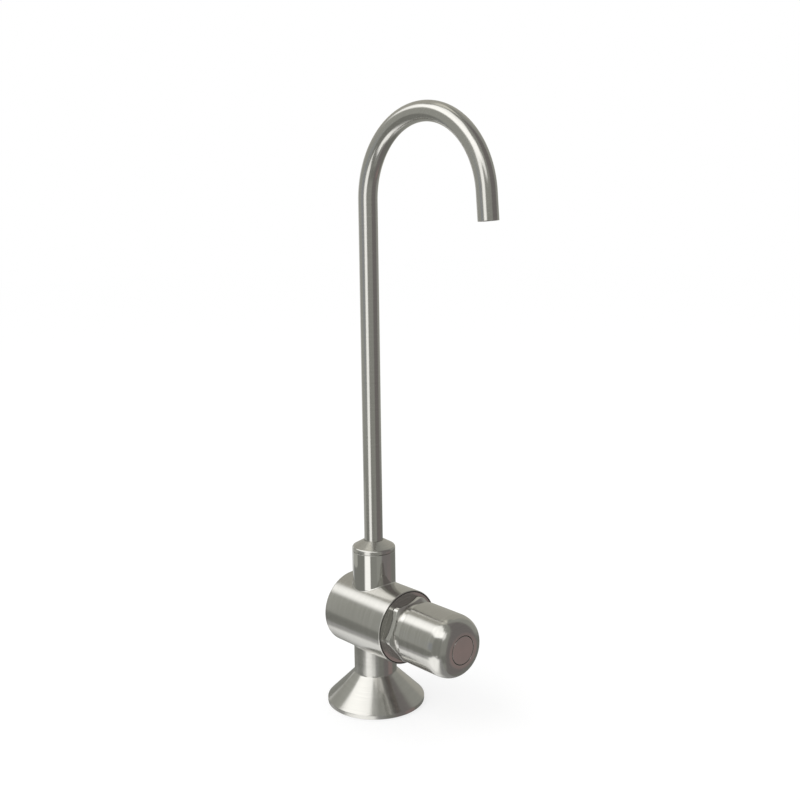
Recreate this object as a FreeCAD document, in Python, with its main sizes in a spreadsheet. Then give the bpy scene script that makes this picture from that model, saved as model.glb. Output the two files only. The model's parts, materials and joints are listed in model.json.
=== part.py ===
import FreeCAD, Part

import math
import os

import Sketcher

# Bottle filling tap: a push-button gooseneck tap on a round foot, in millimetres.
# +Z is up, the knob and the spout point along -Y, and the origin is the centre of the
# foot's underside. The barrel lies along Y, so its pieces are turned upright about their
# own Z axis and then laid forward. "Axial" places along it count forward from the stem.

# Driving sizes, in millimetres, degrees and counts
SIZES = {
    # foot and water inlet
    "foot_diameter": 50.8,
    "foot_rim_height": 2.2,
    "foot_cone_angle": 45,
    "foot_edge_break": 0.4,
    "neck_diameter": 22.2,
    "neck_wall": 3.5,
    "inlet_thread_diameter": 20.955,
    "inlet_socket_depth": 14.0,
    "inlet_undercut": 0.3,
    "inlet_washer_thickness": 2.0,
    "inlet_washer_width": 2.8,
    "strainer_thickness": 0.8,
    "strainer_hole_diameter": 1.4,
    "strainer_hole_spacing": 2.2,
    "restrictor_thickness": 2.7,
    "restrictor_ledge": 1.0,
    "restrictor_orifice": 3.2,
    "inlet_plenum_height": 1.8,
    "gasket_inner_diameter": 28.0,
    "gasket_margin": 3.4,
    "gasket_recess_depth": 1.2,
    # barrel
    "barrel_axis_height": 47.0,
    "barrel_diameter": 38.1,
    "barrel_front": 25.4,
    "barrel_edge_radius": 1.0,
    "barrel_rear_wall": 3.5,
    "rear_chamber_clearance": 1.25,
    "rear_end_clearance": 0.75,
    "passage_diameter": 5.2,
    "passage_inset": 0.4,
    "bonnet_thread_depth": 0.6,
    "bonnet_thread_runout": 0.5,
    # valve seat and cage
    "seat_thickness": 3.5,
    "seat_bore_diameter": 10.0,
    "seat_lip_height": 0.85,
    "seat_lip_width": 0.9,
    "cage_length": 11.2,
    "cage_wall": 2.1,
    "cage_port_diameter": 6.4,
    "cage_port_setback": 4.4,
    "cage_port_count": 4,
    # bonnet
    "hex_step": 0.8,
    "hex_shoulder": 2.0,
    "hex_length": 5.8,
    "hex_turn": 38,
    "hex_flat_count": 6,
    "hex_chamfer_angle": 30,
    "hex_land": 0.3,
    "bonnet_nose_wall": 2.5,
    "bonnet_nose_break": 0.4,
    "bonnet_seal_depth": 1.8,
    "timing_bore_diameter": 17.2,
    "timing_bore_length": 16.05,
    "guide_ring_setback": 9.7,
    "guide_ring_length": 4.0,
    "guide_groove_depth": 1.0,
    # spindle and what it carries inside
    "spindle_diameter": 8.0,
    "spindle_rear_diameter": 7.0,
    "valve_washer_diameter": 15.0,
    "valve_washer_thickness": 2.6,
    "carrier_base": 2.0,
    "carrier_rim_width": 0.7,
    "carrier_rim_height": 1.4,
    "screw_diameter": 3.0,
    "screw_length": 8.0,
    "screw_head_diameter": 5.5,
    "screw_head_height": 2.2,
    "screw_bearing": 0.4,
    "screw_socket_width": 2.5,
    "screw_socket_depth": 1.3,
    "piston_rest_gap": 5.0,
    "piston_length": 5.0,
    "piston_clearance": 0.2,
    "piston_seal_length": 2.3,
    "piston_seal_depth": 1.8,
    "piston_seal_lip": 0.5,
    "bleed_hole_diameter": 0.9,
    "clip_thickness": 0.8,
    "clip_groove_depth": 0.5,
    "clip_width": 2.2,
    "clip_opening": 3.0,
    # gland
    "gland_length": 9.0,
    "gland_wall": 1.1,
    "gland_flange_clearance": 0.6,
    "gland_flange_thickness": 1.5,
    "gland_seal_inset": 2.6,
    "gland_seal_spacing": 3.6,
    # knob and its travel
    "button_travel": 4.5,
    "travel_clearance": 0.3,
    "knob_diameter": 31.75,
    "knob_wall": 1.375,
    "knob_length": 29.1,
    "knob_nose_radius": 7.7,
    "knob_nose_land": 0.975,
    "knob_rear_break": 0.3,
    "knob_end_thickness": 5.1,
    "knob_inner_chamfer": 2.0,
    "knob_hub_diameter": 13.0,
    "knob_hub_length": 4.0,
    "disc_gap": 0.2,
    "disc_thickness": 2.0,
    "disc_edge_break": 0.2,
    "screw_cover_gap": 0.2,
    "screw_head_clearance": 0.4,
    # return spring
    "spring_clearance": 0.9,
    "spring_wire": 1.2,
    "spring_turns": 6,
    # outlet boss, cap and spout
    "boss_diameter": 22.2,
    "boss_wall": 1.9,
    "boss_floor": 2.55,
    "boss_thread_runout": 0.65,
    "boss_thread_depth": 0.8,
    "seam_break": 0.15,
    "outlet_plenum_height": 1.6,
    "outlet_plenum_ledge": 1.2,
    "slip_washer_thickness": 0.75,
    "collar_length": 8.0,
    "spout_seal_spacing": 3.2,
    "cap_spigot_length": 2.35,
    "cap_band_height": 2.0,
    "cap_cone_angle": 30,
    "cap_lip": 0.4,
    "tube_diameter": 9.525,
    "tube_wall": 0.9,
    "stem_length": 188.3,
    "arch_radius": 40.1,
    "arch_sweep": 175,
    "outlet_length": 12.5,
    # seals and clearances
    "small_seal_section": 1.28,
    "large_seal_section": 1.24,
    "seal_clearance": 0.06,
    "thread_clearance": 0.1,
    "running_clearance": 0.08,
    "sliding_clearance": 0.3,
    "braze_gap": 0.05,
    "face_gap": 0.05,
}

# Corner radius of a hexagon over its radius at a flat
HEX_CORNER_RATIO = 2 / math.sqrt(3)

doc = FreeCAD.newDocument("bottle_filling_tap")

# The pieces by name, filled in as they are built
nodes = {}


def fill_sheet():
    """Write each driving size and its alias into one row of the sheet."""
    sheet = doc.addObject("Spreadsheet::Sheet", "Sizes")
    for row, (name, value) in enumerate(SIZES.items(), start=1):
        sheet.set(f"A{row}", name)
        sheet.set(f"B{row}", str(value))
        sheet.setAlias(f"B{row}", name)
    doc.recompute()


class Size:
    """A number together with the formula that works it out from the sheet."""

    def __init__(self, value, formula):
        self.value = value
        self.formula = formula

    def __add__(self, other):
        return joined(self, "+", other, self.value + plain(other))

    def __sub__(self, other):
        return joined(self, "-", other, self.value - plain(other))

    def __mul__(self, other):
        return joined(self, "*", other, self.value * plain(other))

    def __truediv__(self, other):
        return joined(self, "/", other, self.value / plain(other))

    def __neg__(self):
        return Size(-self.value, f"(-{self.formula})")


class Sheet:
    """Reads a driving size by name, as in mm.foot_diameter."""

    def __getattr__(self, name):
        return Size(SIZES[name], f"Sizes.{name}")


def plain(term):
    """The number in a term that is a Size or already a number."""
    return term.value if isinstance(term, Size) else term


def written(term):
    """The formula of a term that is a Size or a plain number."""
    return term.formula if isinstance(term, Size) else str(term)


def joined(left, sign, right, value):
    """Two terms made into one, with the value that they give."""
    return Size(value, f"({written(left)} {sign} {written(right)})")


def tangent(angle):
    """Tangent of an angle in degrees."""
    return Size(math.tan(math.radians(angle.value)), f"tan({angle.formula})")


def cosine(angle):
    """Cosine of an angle in degrees."""
    return Size(math.cos(math.radians(angle.value)), f"cos({angle.formula})")


def sine(angle):
    """Sine of an angle in degrees."""
    return Size(math.sin(math.radians(angle.value)), f"sin({angle.formula})")


def bind(thing, path, size):
    """Tie one property of an object to a size."""
    thing.setExpression(path, written(size))


def new_body(label):
    """An empty body whose label is the piece's name."""
    body = doc.addObject("PartDesign::Body", label)
    body.Label = label
    return body


def origin_feature(body, role):
    """One of the body's own origin planes or axes."""
    return [item for item in body.Origin.OriginFeatures if item.Role == role][0]


def new_sketch(body, plane, name, lift=None, turn=None):
    """A sketch on an origin plane of the body, lifted off it and turned where asked."""
    sketch = body.newObject("Sketcher::SketchObject", name)
    sketch.AttachmentSupport = [(origin_feature(body, plane), "")]
    sketch.MapMode = "FlatFace"
    height = 0.0 if lift is None else lift.value
    angle = 0.0 if turn is None else turn.value
    up = FreeCAD.Vector(0, 0, 1)
    sketch.AttachmentOffset = FreeCAD.Placement(up * height, FreeCAD.Rotation(up, angle))
    if lift is not None:
        bind(sketch, "AttachmentOffset.Base.z", lift)
    if turn is not None:
        bind(sketch, "AttachmentOffset.Rotation.Angle", turn)
    return sketch


def hold_point(sketch, element, end, across, up):
    """Hold one point of a sketch at its two sizes from the origin."""
    for kind, size in (("DistanceX", across), ("DistanceY", up)):
        rule = Sketcher.Constraint(kind, -1, 1, element, end, float(size.value))
        name = f"{kind}_{element}_{end}"
        sketch.renameConstraint(sketch.addConstraint(rule), name)
        bind(sketch, f"Constraints.{name}", size)


def draw_outline(sketch, corners):
    """Draw a closed outline through corners given as (across, up) sizes."""
    points = [FreeCAD.Vector(across.value, up.value, 0) for across, up in corners]
    ends = points[1:] + points[:1]
    sketch.addGeometry([Part.LineSegment(start, end) for start, end in zip(points, ends)])
    for line, (across, up) in enumerate(corners):
        following = (line + 1) % len(corners)
        sketch.addConstraint(Sketcher.Constraint("Coincident", line, 2, following, 1))
        hold_point(sketch, line, 1, across, up)


def draw_circle(sketch, across, up, radius):
    """Draw one circle, held at its centre and by its radius."""
    centre = FreeCAD.Vector(across.value, up.value, 0)
    circle = Part.Circle(centre, FreeCAD.Vector(0, 0, 1), radius.value)
    element = sketch.addGeometry(circle)
    hold_point(sketch, element, 3, across, up)
    rule = Sketcher.Constraint("Radius", element, radius.value)
    name = f"radius_{element}"
    sketch.renameConstraint(sketch.addConstraint(rule), name)
    bind(sketch, f"Constraints.{name}", radius)


def turned(label, outline):
    """Turn a piece from an outline of (axial, radius) corners about its own Z axis."""
    body = new_body(label)
    sketch = new_sketch(body, "XZ_Plane", f"{label}_profile")
    draw_outline(sketch, [(radius, axial) for axial, radius in outline])
    turning = body.newObject("PartDesign::Revolution", f"{label}_turning")
    turning.Profile = sketch
    turning.ReferenceAxis = (sketch, ["V_Axis"])
    turning.Angle = 360
    doc.recompute()
    nodes[label] = body
    return body


def turned_ring(label, rear, front, inner, outer):
    """Turn a plain ring between two axial places."""
    return turned(label, [(rear, inner), (rear, outer), (front, outer), (front, inner)])


def lay_forward(piece):
    """Lay an upright piece along the barrel, with its top towards the knob."""
    turn = FreeCAD.Rotation(FreeCAD.Vector(1, 0, 0), 90)
    piece.Placement = FreeCAD.Placement(FreeCAD.Vector(0, 0, 0), turn)
    bind(piece, "Placement.Base.z", mm.barrel_axis_height)


def cut(body, sketch, name, length=None, reverse=False, side="One side"):
    """Cut a sketch out of a body, through everything where no length is given."""
    before = body.Tip.Shape.Volume
    pocket = body.newObject("PartDesign::Pocket", name)
    pocket.Profile = sketch
    pocket.SideType = side
    pocket.Reversed = reverse
    if length is None:
        pocket.Type = "ThroughAll"
    else:
        pocket.Type = "Length"
        pocket.Length = length.value
        bind(pocket, "Length", length)
    doc.recompute()
    if pocket.Shape.Volume > before - 1e-3:
        raise ValueError(f"{name} removes nothing")
    return pocket


def repeat_around(body, feature, name, count):
    """Repeat a feature evenly around the body's own Z axis."""
    pattern = body.newObject("PartDesign::PolarPattern", name)
    pattern.Originals = [feature]
    pattern.Axis = (origin_feature(body, "Z_Axis"), [""])
    pattern.Angle = 360
    pattern.Occurrences = int(count.value)
    bind(pattern, "Occurrences", count)
    body.Tip = pattern
    doc.recompute()


def circle_edges(shape, axial, radius):
    """Names of the round edges of one radius at one height."""
    names = []
    for number, edge in enumerate(shape.Edges, start=1):
        curve = edge.Curve
        if not isinstance(curve, Part.Circle):
            continue
        right_size = abs(curve.Radius - radius.value) < 1e-4
        right_height = abs(curve.Center.z - axial.value) < 1e-4
        if right_size and right_height:
            names.append(f"Edge{number}")
    return names


def soften(body, kind, amount, places):
    """Fillet or chamfer the round edges at the given (axial, radius) places."""
    base = body.Tip
    edges = []
    for axial, radius in places:
        edges += circle_edges(base.Shape, axial, radius)
    feature = body.newObject(f"PartDesign::{kind}", f"{body.Name}_{kind.lower()}")
    feature.Base = (base, edges)
    size_name = "Radius" if kind == "Fillet" else "Size"
    setattr(feature, size_name, amount.value)
    bind(feature, size_name, amount)
    doc.recompute()


def round_seal(label, axial, middle_radius, section, laid):
    """An O-ring about the upright axis, or about the barrel's axis where laid."""
    ring = doc.addObject("Part::Torus", label)
    ring.Label = label
    bind(ring, "Radius1", middle_radius)
    bind(ring, "Radius2", section / 2)
    if laid:
        lay_forward(ring)
        bind(ring, "Placement.Base.y", -axial)
    else:
        bind(ring, "Placement.Base.z", axial)
    doc.recompute()
    nodes[label] = ring
    return ring


def grouped(label, pieces):
    """Equal pieces that share one node, as separate solids."""
    group = doc.addObject("Part::Compound", label)
    group.Label = label
    group.Links = pieces
    for piece in pieces:
        del nodes[piece.Label]
    doc.recompute()
    nodes[label] = group


def hexagon(flat_radius):
    """Corners of a hexagon about the origin."""
    corner_radius = flat_radius * HEX_CORNER_RATIO
    corners = []
    for step in range(6):
        angle = math.radians(60 * step)
        across = corner_radius * round(math.cos(angle), 9)
        up = corner_radius * round(math.sin(angle), 9)
        corners.append((across, up))
    return corners


mm = Sheet()
ZERO = Size(0.0, "0")
fill_sheet()

# Foot and inlet, from the underside up
foot_radius = mm.foot_diameter / 2
neck_radius = mm.neck_diameter / 2
inlet_radius = mm.inlet_thread_diameter / 2
undercut_radius = inlet_radius + mm.inlet_undercut
inlet_fit_radius = undercut_radius - mm.thread_clearance
strainer_bottom = mm.inlet_socket_depth - mm.strainer_thickness
inlet_washer_bottom = strainer_bottom - mm.inlet_washer_thickness
inlet_plenum_radius = neck_radius - mm.neck_wall
restrictor_bore = inlet_plenum_radius + mm.restrictor_ledge
restrictor_top = mm.inlet_socket_depth + mm.restrictor_thickness
inlet_plenum_floor = restrictor_top + mm.face_gap
inlet_plenum_top = inlet_plenum_floor + mm.inlet_plenum_height
passage_radius = mm.passage_diameter / 2
inlet_offset = inlet_plenum_radius - passage_radius - mm.passage_inset

# Knob's skirt, the round nose that it slides on, and the hexagon behind them
knob_radius = mm.knob_diameter / 2
knob_inner_radius = knob_radius - mm.knob_wall
slide_radius = knob_inner_radius - mm.sliding_clearance
spring_pocket_radius = slide_radius - mm.bonnet_nose_wall
hex_flat_radius = slide_radius + mm.hex_step
hex_corner_radius = hex_flat_radius * HEX_CORNER_RATIO
bonnet_thread_radius = hex_flat_radius - mm.hex_shoulder
spigot_radius = bonnet_thread_radius - mm.thread_clearance
bonnet_seal_section = mm.large_seal_section
bonnet_seal_bore = spigot_radius + bonnet_seal_section + mm.seal_clearance * 2

# Seat and cage in the barrel, from the stem's axis forward
barrel_radius = mm.barrel_diameter / 2
saddle_radius = barrel_radius + mm.braze_gap
barrel_top = mm.barrel_axis_height + barrel_radius
cage_bore_radius = bonnet_thread_radius - mm.bonnet_thread_depth
cage_radius = cage_bore_radius - mm.thread_clearance
seat_front = mm.seat_thickness / 2
seat_rear = -seat_front
lip_face = seat_rear - mm.seat_lip_height
cage_front = seat_front + mm.cage_length

# Valve washer, its carrier and the rear end of the barrel, from the seat back
screw_radius = mm.screw_diameter / 2
screw_head_radius = mm.screw_head_diameter / 2
screw_hole_radius = screw_radius + mm.face_gap
screw_hole_depth = mm.screw_length + mm.face_gap * 2
tenon_bore = screw_head_radius - mm.screw_bearing
tenon_radius = tenon_bore - mm.face_gap
washer_radius = mm.valve_washer_diameter / 2
washer_front = lip_face - mm.face_gap
washer_rear = washer_front - mm.valve_washer_thickness
carrier_rear = washer_rear - mm.carrier_base
carrier_rim_inner = washer_radius + mm.face_gap
carrier_rim_outer = carrier_rim_inner + mm.carrier_rim_width
chamber_radius = carrier_rim_outer + mm.rear_chamber_clearance
chamber_end = carrier_rear - mm.screw_head_height - mm.button_travel - mm.rear_end_clearance
barrel_rear = chamber_end - mm.barrel_rear_wall

# Places along the bonnet and the knob, from the cage forward
timing_radius = mm.timing_bore_diameter / 2
timing_bore_end = cage_front + mm.timing_bore_length
spring_pocket_start = timing_bore_end + mm.gland_length
hex_front = mm.barrel_front + mm.hex_length
knob_rear = hex_front + mm.button_travel + mm.travel_clearance
knob_front = knob_rear + mm.knob_length
knob_end_inside = knob_front - mm.knob_end_thickness
knob_inner_corner = knob_end_inside - mm.knob_inner_chamfer
bonnet_nose = knob_inner_corner - mm.button_travel - mm.travel_clearance
guide_start = bonnet_nose - mm.guide_ring_setback
guide_end = guide_start + mm.guide_ring_length
guide_floor = slide_radius - mm.guide_groove_depth
hub_face = knob_end_inside - mm.knob_hub_length
disc_bore_radius = knob_radius - mm.knob_nose_radius - mm.knob_nose_land
disc_seat = knob_front - mm.disc_thickness
screw_head_bore = screw_head_radius + mm.screw_head_clearance
knob_screw_seat = disc_seat - mm.screw_cover_gap - mm.screw_head_height

# Spindle, its gland and its piston
spindle_radius = mm.spindle_diameter / 2
spindle_rear_radius = mm.spindle_rear_diameter / 2
gland_seal_radius = spindle_radius + mm.seal_clearance + mm.small_seal_section / 2
gland_groove_floor = gland_seal_radius + mm.small_seal_section / 2 + mm.seal_clearance
gland_radius = gland_groove_floor + mm.gland_wall
spindle_shoulder = timing_bore_end - mm.piston_rest_gap
piston_rear = spindle_shoulder - mm.piston_length
piston_radius = timing_radius - mm.piston_clearance
piston_bore = spindle_rear_radius + mm.face_gap
piston_seal_rear = piston_rear + (mm.piston_length - mm.piston_seal_length) / 2
piston_seal_front = piston_seal_rear + mm.piston_seal_length
piston_seal_floor = piston_radius - mm.piston_seal_depth
clip_floor = spindle_rear_radius - mm.clip_groove_depth

# Return spring, and the gland's flange inside it
wire_radius = mm.spring_wire / 2
spring_radius = spring_pocket_radius - mm.spring_clearance - wire_radius
gland_flange_radius = spring_radius - wire_radius - mm.gland_flange_clearance

# Outlet boss, collar and cap, from the barrel up
boss_radius = mm.boss_diameter / 2
boss_thread_radius = boss_radius - mm.boss_wall
collar_bore_radius = boss_thread_radius - mm.boss_thread_depth
outlet_plenum_radius = collar_bore_radius - mm.outlet_plenum_ledge
outlet_offset = outlet_plenum_radius - passage_radius - mm.passage_inset
outlet_plenum_floor = barrel_top + mm.boss_floor
slip_seat = outlet_plenum_floor + mm.outlet_plenum_height
collar_bottom = slip_seat + mm.slip_washer_thickness + mm.face_gap
collar_top = collar_bottom + mm.collar_length
upper_slip_bottom = collar_top + mm.face_gap
upper_slip_top = upper_slip_bottom + mm.slip_washer_thickness
cap_spigot_bottom = upper_slip_top + mm.face_gap
boss_top = cap_spigot_bottom + mm.cap_spigot_length
band_top = boss_top + mm.cap_band_height
tube_radius = mm.tube_diameter / 2
tube_passage_radius = tube_radius + mm.running_clearance
cap_lip_radius = tube_passage_radius + mm.cap_lip
cone_top = band_top + (boss_radius - cap_lip_radius) * tangent(mm.cap_cone_angle)
stem_top = collar_bottom + mm.stem_length


def cut_saddle(body):
    """Cut the hollow that lets an upright piece sit on the round barrel."""
    sketch = new_sketch(body, "XZ_Plane", f"{body.Name}_saddle_profile")
    draw_circle(sketch, ZERO, mm.barrel_axis_height, saddle_radius)
    cut(body, sketch, f"{body.Name}_saddle", side="Symmetric")


def make_foot():
    """Foot, cone and neck in one turning, with the threaded inlet socket below."""
    gasket_inner = mm.gasket_inner_diameter / 2
    gasket_outer = foot_radius - mm.gasket_margin
    cone_rise = (foot_radius - neck_radius) * tangent(mm.foot_cone_angle)
    body = turned("foot", [
        (ZERO, inlet_radius),
        (ZERO, gasket_inner),
        (mm.gasket_recess_depth, gasket_inner),
        (mm.gasket_recess_depth, gasket_outer),
        (ZERO, gasket_outer),
        (ZERO, foot_radius),
        (mm.foot_rim_height, foot_radius),
        (mm.foot_rim_height + cone_rise, neck_radius),
        (mm.barrel_axis_height, neck_radius),
        (mm.barrel_axis_height, ZERO),
        (inlet_plenum_top, ZERO),
        (inlet_plenum_top, inlet_plenum_radius),
        (inlet_plenum_floor, inlet_plenum_radius),
        (inlet_plenum_floor, restrictor_bore),
        (mm.inlet_socket_depth, restrictor_bore),
        (mm.inlet_socket_depth, undercut_radius),
        (inlet_washer_bottom, undercut_radius),
        (inlet_washer_bottom, inlet_radius),
    ])
    cut_saddle(body)
    passage = new_sketch(body, "XY_Plane", "inlet_passage_profile", lift=inlet_plenum_top)
    draw_circle(passage, ZERO, inlet_offset, passage_radius)
    cut(body, passage, "inlet_passage", reverse=True)
    soften(body, "Chamfer", mm.foot_edge_break, [(ZERO, foot_radius)])
    gasket_gap = mm.thread_clearance
    turned_ring("base_gasket", gasket_gap, mm.gasket_recess_depth,
                gasket_inner + gasket_gap, gasket_outer - gasket_gap)


def make_inlet_fittings():
    """Washer, strainer and flow restrictor, stacked in the inlet socket."""
    turned_ring("inlet_washer", inlet_washer_bottom, strainer_bottom,
                inlet_fit_radius - mm.inlet_washer_width, inlet_fit_radius)
    strainer = turned_ring("inlet_strainer", strainer_bottom, mm.inlet_socket_depth,
                           ZERO, inlet_fit_radius)
    holes = new_sketch(strainer, "XY_Plane", "strainer_holes_profile", lift=strainer_bottom)
    hole_radius = mm.strainer_hole_diameter / 2
    draw_circle(holes, ZERO, ZERO, hole_radius)
    for ring in (1, 2, 3):
        for step in range(6 * ring):
            angle = math.radians(60 * step / ring)
            across = mm.strainer_hole_spacing * round(ring * math.cos(angle), 9)
            up = mm.strainer_hole_spacing * round(ring * math.sin(angle), 9)
            draw_circle(holes, across, up, hole_radius)
    cut(strainer, holes, "strainer_holes", reverse=True)
    turned_ring("flow_restrictor", mm.inlet_socket_depth, restrictor_top,
                mm.restrictor_orifice / 2, restrictor_bore - mm.thread_clearance)


def make_barrel():
    """Valve body: blind at the rear, threaded for the bonnet at the front."""
    thread_start = cage_front - mm.bonnet_thread_runout
    seal_floor = mm.barrel_front - mm.bonnet_seal_depth
    body = turned("barrel", [
        (barrel_rear, ZERO),
        (barrel_rear, barrel_radius),
        (mm.barrel_front, barrel_radius),
        (mm.barrel_front, bonnet_seal_bore),
        (seal_floor, bonnet_seal_bore),
        (seal_floor, bonnet_thread_radius),
        (thread_start, bonnet_thread_radius),
        (thread_start, cage_bore_radius),
        (seat_rear, cage_bore_radius),
        (seat_rear, chamber_radius),
        (chamber_end, chamber_radius),
        (chamber_end, ZERO),
    ])
    inlet = new_sketch(body, "XZ_Plane", "barrel_inlet_profile")
    draw_circle(inlet, ZERO, -inlet_offset, passage_radius)
    cut(body, inlet, "barrel_inlet", reverse=True)
    outlet = new_sketch(body, "XZ_Plane", "barrel_outlet_profile")
    draw_circle(outlet, ZERO, outlet_offset, passage_radius)
    cut(body, outlet, "barrel_outlet")
    ends = [(mm.barrel_front, barrel_radius), (barrel_rear, barrel_radius)]
    soften(body, "Fillet", mm.barrel_edge_radius, ends)
    lay_forward(body)


def make_seat_and_cage():
    """Seat ring with its lip and seal, and the ported cage that clamps it."""
    section = mm.large_seal_section
    seal_radius = cage_bore_radius - mm.seal_clearance - section / 2
    groove_floor = seal_radius - section / 2 - mm.seal_clearance
    groove_half = section / 2 + mm.seal_clearance
    seat_bore = mm.seat_bore_diameter / 2
    lip_radius = seat_bore + mm.seat_lip_width
    seat = turned("valve_seat", [
        (lip_face, seat_bore),
        (lip_face, lip_radius),
        (seat_rear, lip_radius),
        (seat_rear, cage_radius),
        (-groove_half, cage_radius),
        (-groove_half, groove_floor),
        (groove_half, groove_floor),
        (groove_half, cage_radius),
        (seat_front, cage_radius),
        (seat_front, seat_bore),
    ])
    lay_forward(seat)
    round_seal("seat_o_ring", ZERO, seal_radius, section, laid=True)
    cage = turned_ring("valve_cage", seat_front, cage_front,
                       cage_radius - mm.cage_wall, cage_radius)
    port = new_sketch(cage, "XZ_Plane", "cage_port_profile")
    port_place = seat_front + mm.cage_port_setback
    draw_circle(port, ZERO, port_place, mm.cage_port_diameter / 2)
    first_port = cut(cage, port, "cage_port")
    repeat_around(cage, first_port, "cage_ports", mm.cage_port_count)
    lay_forward(cage)


def make_bonnet():
    """Hexagonal bonnet with the round nose that the knob slides on."""
    chamfer_radius = hex_flat_radius - mm.hex_land
    chamfer_length = (hex_corner_radius - chamfer_radius) * tangent(mm.hex_chamfer_angle)
    chamfer_start = hex_front - chamfer_length
    gland_bore = gland_radius + mm.thread_clearance
    body = turned("bonnet", [
        (cage_front, timing_radius),
        (cage_front, spigot_radius),
        (mm.barrel_front, spigot_radius),
        (mm.barrel_front, hex_corner_radius),
        (chamfer_start, hex_corner_radius),
        (hex_front, chamfer_radius),
        (hex_front, slide_radius),
        (guide_start, slide_radius),
        (guide_start, guide_floor),
        (guide_end, guide_floor),
        (guide_end, slide_radius),
        (bonnet_nose, slide_radius),
        (bonnet_nose, spring_pocket_radius),
        (spring_pocket_start, spring_pocket_radius),
        (spring_pocket_start, gland_bore),
        (timing_bore_end, gland_bore),
        (timing_bore_end, timing_radius),
    ])
    flat = new_sketch(body, "XY_Plane", "hex_flat_profile",
                      lift=mm.barrel_front, turn=mm.hex_turn)
    beyond = hex_corner_radius + mm.hex_land
    draw_outline(flat, [
        (hex_flat_radius, -beyond),
        (beyond, -beyond),
        (beyond, beyond),
        (hex_flat_radius, beyond),
    ])
    first_flat = cut(body, flat, "hex_flat", length=mm.hex_length, reverse=True)
    repeat_around(body, first_flat, "hex_flats", mm.hex_flat_count)
    nose_edges = [(bonnet_nose, slide_radius), (bonnet_nose, spring_pocket_radius)]
    soften(body, "Chamfer", mm.bonnet_nose_break, nose_edges)
    lay_forward(body)

    seal_radius = (spigot_radius + bonnet_seal_bore) / 2
    seal_place = mm.barrel_front - mm.bonnet_seal_depth / 2
    round_seal("bonnet_o_ring", seal_place, seal_radius, bonnet_seal_section, laid=True)
    guide = turned_ring("knob_guide_ring",
                        guide_start + mm.running_clearance,
                        guide_end - mm.running_clearance,
                        guide_floor + mm.running_clearance,
                        knob_inner_radius - mm.running_clearance)
    lay_forward(guide)


def make_gland():
    """Gland bush that guides the spindle, with its two seals."""
    section = mm.small_seal_section
    bore = spindle_radius + mm.running_clearance
    groove_half = section / 2 + mm.seal_clearance
    rear_seal = timing_bore_end + mm.gland_seal_inset
    front_seal = rear_seal + mm.gland_seal_spacing
    flange_front = spring_pocket_start + mm.gland_flange_thickness
    bush = turned("gland_bush", [
        (timing_bore_end, bore),
        (timing_bore_end, gland_radius),
        (spring_pocket_start, gland_radius),
        (spring_pocket_start, gland_flange_radius),
        (flange_front, gland_flange_radius),
        (flange_front, bore),
        (front_seal + groove_half, bore),
        (front_seal + groove_half, gland_groove_floor),
        (front_seal - groove_half, gland_groove_floor),
        (front_seal - groove_half, bore),
        (rear_seal + groove_half, bore),
        (rear_seal + groove_half, gland_groove_floor),
        (rear_seal - groove_half, gland_groove_floor),
        (rear_seal - groove_half, bore),
    ])
    lay_forward(bush)
    grouped("gland_o_rings", [
        round_seal("gland_rear_o_ring", rear_seal, gland_seal_radius, section, laid=True),
        round_seal("gland_front_o_ring", front_seal, gland_seal_radius, section, laid=True),
    ])


def make_spindle():
    """Spindle that carries all that the button moves."""
    rear_end = carrier_rear + mm.face_gap
    tenon_end = knob_screw_seat - mm.face_gap
    groove_rear = piston_rear - mm.clip_thickness - mm.face_gap
    body = turned("spindle", [
        (rear_end, screw_hole_radius),
        (rear_end, tenon_radius),
        (washer_front, tenon_radius),
        (washer_front, spindle_rear_radius),
        (groove_rear, spindle_rear_radius),
        (groove_rear, clip_floor),
        (piston_rear, clip_floor),
        (piston_rear, spindle_rear_radius),
        (spindle_shoulder, spindle_rear_radius),
        (spindle_shoulder, spindle_radius),
        (hub_face, spindle_radius),
        (hub_face, tenon_radius),
        (tenon_end, tenon_radius),
        (tenon_end, screw_hole_radius),
        (tenon_end - screw_hole_depth, screw_hole_radius),
        (tenon_end - screw_hole_depth, ZERO),
        (rear_end + screw_hole_depth, ZERO),
        (rear_end + screw_hole_depth, screw_hole_radius),
    ])
    lay_forward(body)


def make_screw(label, seat, away):
    """Socket screw whose head lies on the seat's far side: away is +1 forward, -1 back."""
    head_face = seat + mm.screw_head_height * away
    tip = seat - mm.screw_length * away
    body = turned(label, [
        (head_face, ZERO),
        (head_face, screw_head_radius),
        (seat, screw_head_radius),
        (seat, screw_radius),
        (tip, screw_radius),
        (tip, ZERO),
    ])
    socket = new_sketch(body, "XY_Plane", f"{label}_socket_profile", lift=head_face)
    draw_outline(socket, hexagon(mm.screw_socket_width / 2))
    cut(body, socket, f"{label}_socket", length=mm.screw_socket_depth, reverse=away < 0)
    lay_forward(body)


def make_valve_head():
    """Rubber washer, its carrier and the screw that holds them."""
    washer = turned_ring("valve_washer", washer_rear, washer_front,
                         tenon_bore, washer_radius)
    lay_forward(washer)
    rim_front = washer_rear + mm.carrier_rim_height
    carrier = turned("washer_carrier", [
        (carrier_rear, tenon_bore),
        (carrier_rear, carrier_rim_outer),
        (rim_front, carrier_rim_outer),
        (rim_front, carrier_rim_inner),
        (washer_rear, carrier_rim_inner),
        (washer_rear, tenon_bore),
    ])
    lay_forward(carrier)
    make_screw("washer_screw", carrier_rear, away=-1)


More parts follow.
